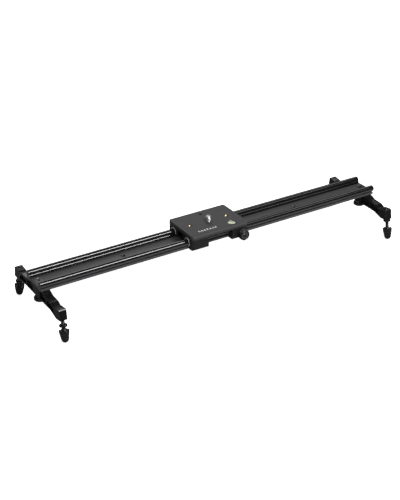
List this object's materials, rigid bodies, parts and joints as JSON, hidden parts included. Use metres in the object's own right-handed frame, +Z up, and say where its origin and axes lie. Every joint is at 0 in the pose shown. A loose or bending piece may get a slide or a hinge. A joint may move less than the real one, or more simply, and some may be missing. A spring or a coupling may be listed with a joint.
{
  "type": "camera slider",
  "caption": "Tabletop camera slider: a parallel-shaft rail on swivelling arched legs with screw feet, and a sliding plate with a clamp knob, camera screw and bubble level.",
  "frame": {"origin": "on the floor, under the middle of the rail: the centre of the bounding box bottom", "axes": "+X along the rail, +Z up, -Y is the front, where the clamp knob sticks out of the carriage"},
  "size_m": [0.6006, 0.166, 0.0882],
  "materials": {
    "rail_anodised": "black anodised extrusion, satin, fine lengthwise grain",
    "carriage_anodised": "black anodised, bead blasted, satin",
    "leg_paint": "fine textured black paint on die-cast metal",
    "black_plastic": "moulded, satin",
    "rubber": "matte",
    "bright_steel": "bright turned",
    "black_steel": "black oxide",
    "brass": "turned",
    "liner_polymer": "smooth bearing polymer",
    "level_fluid": "yellow-green liquid",
    "clear_lens": "clear acrylic"
  },
  "bodies": {
    "track": {"track_rail": "rail_anodised", "tripod_bush": "brass", "leg_bolt_left": "black_steel", "leg_bolt_right": "black_steel"},
    "carriage": {"bearing_housing_front_left": "carriage_anodised", "bearing_housing_rear_left": "carriage_anodised", "bearing_housing_rear_right": "carriage_anodised", "bearing_liner_front_left": "liner_polymer", "bearing_liner_front_right": "liner_polymer", "bearing_liner_rear_left": "liner_polymer", "bearing_liner_rear_right": "liner_polymer", "carriage_plate": "carriage_anodised", "clamp_housing": "carriage_anodised", "housing_screw_front_left_1": "black_steel", "housing_screw_front_left_2": "black_steel", "housing_screw_front_right_1": "black_steel", "housing_screw_front_right_2": "black_steel", "housing_screw_rear_left_1": "black_steel", "housing_screw_rear_left_2": "black_steel", "housing_screw_rear_right_1": "black_steel", "housing_screw_rear_right_2": "black_steel", "level_body": "black_plastic", "level_fluid": "level_fluid", "level_lens": "clear_lens", "thread_insert_left": "brass", "thread_insert_right": "brass"},
    "camera_screw": {"camera_screw": "bright_steel"},
    "clamp_pad": {"clamp_pad": "brass"},
    "clamp_knob": {"clamp_knob": "black_plastic", "clamp_screw": "bright_steel"},
    "leg_left": {"leg_bar_left": "leg_paint"},
    "leg_washer_left": {"leg_washer_left": "bright_steel"},
    "leg_knob_left": {"leg_knob_left": "black_plastic"},
    "foot_tip_left_front": {"foot_tip_left_front": "rubber"},
    "foot_screw_left_front": {"foot_stud_left_front": "black_steel", "foot_cup_left_front": "black_plastic"},
    "foot_nut_left_front": {"foot_nut_left_front": "black_plastic"},
    "foot_tip_left_rear": {"foot_tip_left_rear": "rubber"},
    "foot_screw_left_rear": {"foot_stud_left_rear": "black_steel", "foot_cup_left_rear": "black_plastic"},
    "foot_nut_left_rear": {"foot_nut_left_rear": "black_plastic"},
    "leg_right": {"leg_bar_right": "leg_paint"},
    "leg_washer_right": {"leg_washer_right": "bright_steel"},
    "leg_knob_right": {"leg_knob_right": "black_plastic"},
    "foot_tip_right_front": {"foot_tip_right_front": "rubber"},
    "foot_screw_right_front": {"foot_stud_right_front": "black_steel", "foot_cup_right_front": "black_plastic"},
    "foot_nut_right_front": {"foot_nut_right_front": "black_plastic"},
    "foot_tip_right_rear": {"foot_tip_right_rear": "rubber"},
    "foot_screw_right_rear": {"foot_stud_right_rear": "black_steel", "foot_cup_right_rear": "black_plastic"},
    "foot_nut_right_rear": {"foot_nut_right_rear": "black_plastic"}
  },
  "joints": [
    {"name": "carriage_slide", "type": "slide", "parent": "track", "child": "carriage", "axis": [1, 0, 0], "range_m": [-0.244, 0.256]},
    {"name": "camera_screw_turn", "type": "hinge", "parent": "carriage", "child": "camera_screw", "pos_m": [-0.006, 0, 0.078], "axis": [0, 0, 1], "continuous": true},
    {"name": "clamp_travel", "type": "slide", "parent": "carriage", "child": "clamp_pad", "axis": [0, -1, 0], "range_m": [-0.0004, 0.003]},
    {"name": "clamp_turn", "type": "hinge", "parent": "clamp_pad", "child": "clamp_knob", "pos_m": [0.02975, -0.04, 0.066], "axis": [0, -1, 0], "range_deg": [-144.5, 1080.5]},
    {"name": "leg_swivel_left", "type": "hinge", "parent": "track", "child": "leg_left", "pos_m": [-0.2915, 0, 0.046], "axis": [0, 0, 1], "range_deg": [-90, 90]},
    {"name": "leg_knob_travel_left", "type": "slide", "parent": "track", "child": "leg_washer_left", "axis": [0, 0, -1], "range_m": [0, 0.003]},
    {"name": "leg_knob_turn_left", "type": "hinge", "parent": "leg_washer_left", "child": "leg_knob_left", "pos_m": [-0.2915, 0, 0.034], "axis": [0, 0, -1], "range_deg": [-0.5, 1080.5]},
    {"name": "foot_height_left_front", "type": "slide", "parent": "leg_left", "child": "foot_tip_left_front", "axis": [0, -0.1908, -0.9816], "range_m": [-0.004, 0.012]},
    {"name": "foot_turn_left_front", "type": "hinge", "parent": "foot_tip_left_front", "child": "foot_screw_left_front", "pos_m": [-0.2915, -0.078, 0.00061], "axis": [0, -0.1908, -0.9816], "range_deg": [-1440.5, 4320.5]},
    {"name": "foot_nut_travel_left_front", "type": "slide", "parent": "leg_left", "child": "foot_nut_left_front", "axis": [0, 0.1908, 0.9816], "range_m": [0, 0.0062]},
    {"name": "foot_height_left_rear", "type": "slide", "parent": "leg_left", "child": "foot_tip_left_rear", "axis": [0, 0.1908, -0.9816], "range_m": [-0.004, 0.012]},
    {"name": "foot_turn_left_rear", "type": "hinge", "parent": "foot_tip_left_rear", "child": "foot_screw_left_rear", "pos_m": [-0.2915, 0.078, 0.00061], "axis": [0, 0.1908, -0.9816], "range_deg": [-1440.5, 4320.5]},
    {"name": "foot_nut_travel_left_rear", "type": "slide", "parent": "leg_left", "child": "foot_nut_left_rear", "axis": [0, -0.1908, 0.9816], "range_m": [0, 0.0062]},
    {"name": "leg_swivel_right", "type": "hinge", "parent": "track", "child": "leg_right", "pos_m": [0.2915, 0, 0.046], "axis": [0, 0, 1], "range_deg": [-90, 90]},
    {"name": "leg_knob_travel_right", "type": "slide", "parent": "track", "child": "leg_washer_right", "axis": [0, 0, -1], "range_m": [0, 0.003]},
    {"name": "leg_knob_turn_right", "type": "hinge", "parent": "leg_washer_right", "child": "leg_knob_right", "pos_m": [0.2915, 0, 0.034], "axis": [0, 0, -1], "range_deg": [-0.5, 1080.5]},
    {"name": "foot_height_right_front", "type": "slide", "parent": "leg_right", "child": "foot_tip_right_front", "axis": [0, -0.1908, -0.9816], "range_m": [-0.004, 0.012]},
    {"name": "foot_turn_right_front", "type": "hinge", "parent": "foot_tip_right_front", "child": "foot_screw_right_front", "pos_m": [0.2915, -0.078, 0.00061], "axis": [0, -0.1908, -0.9816], "range_deg": [-1440.5, 4320.5]},
    {"name": "foot_nut_travel_right_front", "type": "slide", "parent": "leg_right", "child": "foot_nut_right_front", "axis": [0, 0.1908, 0.9816], "range_m": [-0.0062, 0]},
    {"name": "foot_height_right_rear", "type": "slide", "parent": "leg_right", "child": "foot_tip_right_rear", "axis": [0, 0.1908, -0.9816], "range_m": [-0.004, 0.012]},
    {"name": "foot_turn_right_rear", "type": "hinge", "parent": "foot_tip_right_rear", "child": "foot_screw_right_rear", "pos_m": [0.2915, 0.078, 0.00061], "axis": [0, 0.1908, -0.9816], "range_deg": [-1440.5, 4320.5]},
    {"name": "foot_nut_travel_right_rear", "type": "slide", "parent": "leg_right", "child": "foot_nut_right_rear", "axis": [0, -0.1908, 0.9816], "range_m": [0, 0.0062]}
  ],
  "couplings": [
    {"joint": "clamp_turn", "follows": "clamp_travel", "rad_per_m": 6283.2},
    {"joint": "leg_knob_turn_left", "follows": "leg_knob_travel_left", "rad_per_m": 6283.2},
    {"joint": "foot_turn_left_front", "follows": "foot_height_left_front", "rad_per_m": 6283.2},
    {"joint": "foot_turn_left_rear", "follows": "foot_height_left_rear", "rad_per_m": 6283.2},
    {"joint": "leg_knob_turn_right", "follows": "leg_knob_travel_right", "rad_per_m": 6283.2},
    {"joint": "foot_turn_right_front", "follows": "foot_height_right_front", "rad_per_m": 6283.2},
    {"joint": "foot_turn_right_rear", "follows": "foot_height_right_rear", "rad_per_m": 6283.2}
  ]
}
